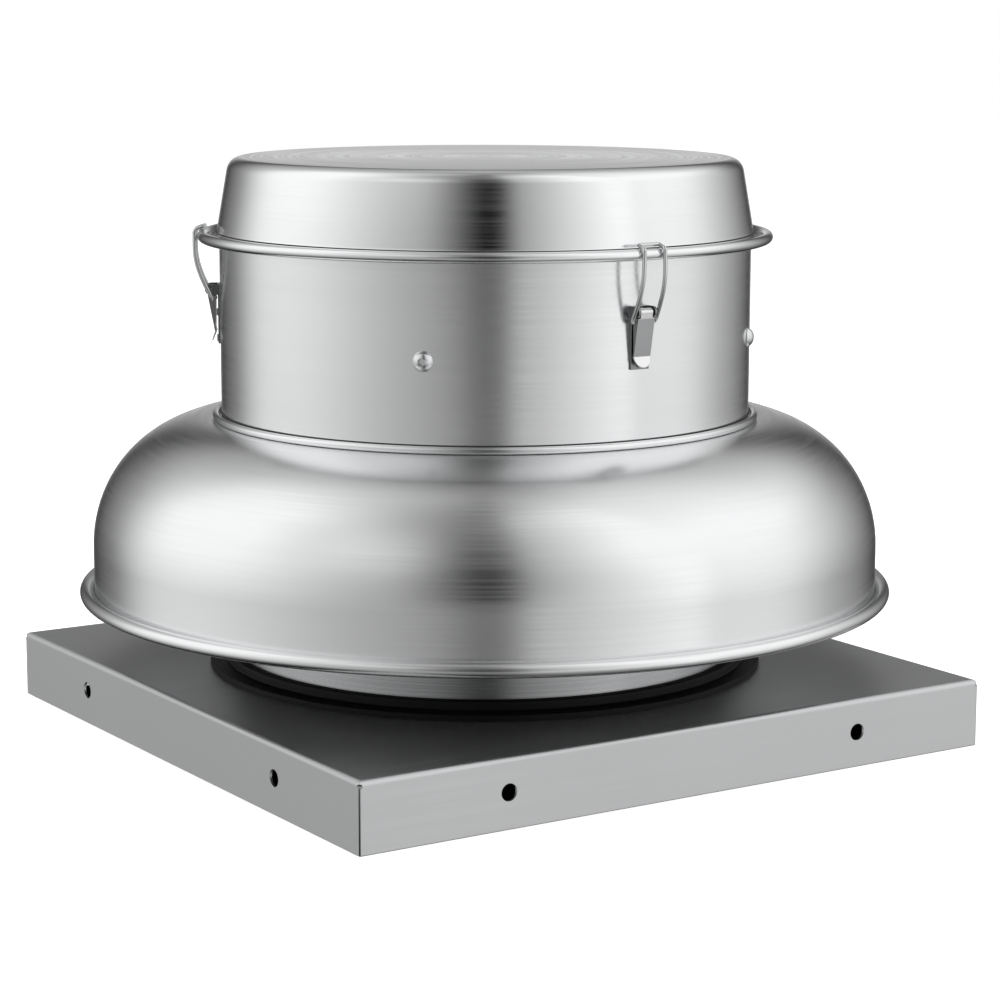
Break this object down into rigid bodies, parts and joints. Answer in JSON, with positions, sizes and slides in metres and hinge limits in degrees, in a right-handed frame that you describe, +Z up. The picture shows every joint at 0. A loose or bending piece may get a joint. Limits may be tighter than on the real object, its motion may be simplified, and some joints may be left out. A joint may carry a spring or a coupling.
{
  "type": "roof exhaust fan",
  "caption": "Downblast roof exhaust fan with a square curb cap, spun bowl, motor drum with a latched lid, and a backward curved centrifugal wheel inside.",
  "frame": {"origin": "centre of the square curb cap at its bottom edge", "axes": "+Z up along the wheel's axis, -Y towards the side with one latch in its middle, +X to the right"},
  "size_m": [0.5004, 0.5004, 0.3515],
  "materials": {
    "cap_aluminium": "mill finish sheet, light satin",
    "spun_aluminium": "spun and brushed round the axis, satin",
    "inlet_aluminium": "satin",
    "black_rubber": "smooth, semi matt",
    "black_foam": "closed cell foam, matt",
    "wheel_aluminium": "plain sheet",
    "bright_steel": "polished stainless",
    "zinc_steel": "zinc plated",
    "motor_paint": "grey enamel on cast aluminium",
    "stator_steel": "laminated",
    "copper": "enamelled winding",
    "black_plastic": "moulded",
    "felt": "pressed felt",
    "can_aluminium": "drawn can"
  },
  "bodies": {
    "housing": {"curb_cap": "cap_aluminium", "curb_seal": "black_foam", "base_ring": "black_rubber", "inlet_drum": "inlet_aluminium", "inlet_nozzle": "inlet_aluminium", "nozzle_rivets": "zinc_steel", "support_posts": "zinc_steel", "post_bolts": "zinc_steel", "clamp_nuts": "zinc_steel", "wiring_tube": "zinc_steel", "bowl": "spun_aluminium", "motor_deck": "zinc_steel", "rubber_mounts": "black_rubber", "mount_bolts": "zinc_steel", "mount_nuts": "zinc_steel", "motor_plate": "zinc_steel", "shaft_seal": "felt", "motor_flange_bell": "motor_paint", "motor_frame": "motor_paint", "motor_cover_bell": "motor_paint", "motor_bearings": "bright_steel", "stator_core": "stator_steel", "stator_windings": "copper", "flange_bolts": "zinc_steel", "terminal_box": "zinc_steel", "terminal_cover": "zinc_steel", "cable_gland": "black_plastic", "capacitor": "can_aluminium", "capacitor_clip": "zinc_steel", "motor_drum": "spun_aluminium", "drum_uprights": "zinc_steel", "upright_screws": "zinc_steel", "drum_screws": "bright_steel", "drum_nuts": "zinc_steel", "edge_trim": "black_rubber", "latch_brackets": "bright_steel", "latch_rivets": "bright_steel", "latch_pins": "bright_steel"},
    "rotor": {"motor_shaft": "bright_steel", "rotor_core": "stator_steel", "wheel_hub": "wheel_aluminium", "wheel_back_plate": "wheel_aluminium", "wheel_blades": "wheel_aluminium", "wheel_shroud": "wheel_aluminium", "hub_rivets": "zinc_steel", "shaft_bolt": "zinc_steel"},
    "lid": {"lid": "spun_aluminium"},
    "lever_front": {"lever_front": "bright_steel"},
    "bail_front": {"bail_front": "bright_steel"},
    "lever_right": {"lever_right": "bright_steel"},
    "bail_right": {"bail_right": "bright_steel"},
    "lever_left": {"lever_left": "bright_steel"},
    "bail_left": {"bail_left": "bright_steel"}
  },
  "joints": [
    {"name": "rotor_spin", "type": "hinge", "parent": "housing", "child": "rotor", "pos_m": [0, 0, 0.15], "axis": [0, 0, 1], "continuous": true},
    {"name": "lid_lift", "type": "slide", "parent": "housing", "child": "lid", "axis": [0, 0, 1], "range_m": [0, 0.03]},
    {"name": "lever_front_hinge", "type": "hinge", "parent": "housing", "child": "lever_front", "pos_m": [0, -0.1677, 0.27115], "axis": [-1, 0, 0], "range_deg": [0, 140]},
    {"name": "bail_front_hinge", "type": "hinge", "parent": "lever_front", "child": "bail_front", "pos_m": [0, -0.1663, 0.26535], "axis": [1, 0, 0], "range_deg": [0, 260]},
    {"name": "lever_right_hinge", "type": "hinge", "parent": "housing", "child": "lever_right", "pos_m": [0.14523, 0.08385, 0.27115], "axis": [0.5, -0.866, 0], "range_deg": [0, 140]},
    {"name": "bail_right_hinge", "type": "hinge", "parent": "lever_right", "child": "bail_right", "pos_m": [0.14402, 0.08315, 0.26535], "axis": [-0.5, 0.866, 0], "range_deg": [0, 260]},
    {"name": "lever_left_hinge", "type": "hinge", "parent": "housing", "child": "lever_left", "pos_m": [-0.14523, 0.08385, 0.27115], "axis": [0.5, 0.866, 0], "range_deg": [0, 140]},
    {"name": "bail_left_hinge", "type": "hinge", "parent": "lever_left", "child": "bail_left", "pos_m": [-0.14402, 0.08315, 0.26535], "axis": [-0.5, -0.866, 0], "range_deg": [0, 260]}
  ],
  "couplings": [
    {"joint": "lever_front_hinge", "follows": "lid_lift", "rad_per_m": 81.4},
    {"joint": "bail_front_hinge", "follows": "lid_lift", "rad_per_m": 151.2},
    {"joint": "lever_right_hinge", "follows": "lid_lift", "rad_per_m": 81.4},
    {"joint": "bail_right_hinge", "follows": "lid_lift", "rad_per_m": 151.2},
    {"joint": "lever_left_hinge", "follows": "lid_lift", "rad_per_m": 81.4},
    {"joint": "bail_left_hinge", "follows": "lid_lift", "rad_per_m": 151.2}
  ]
}
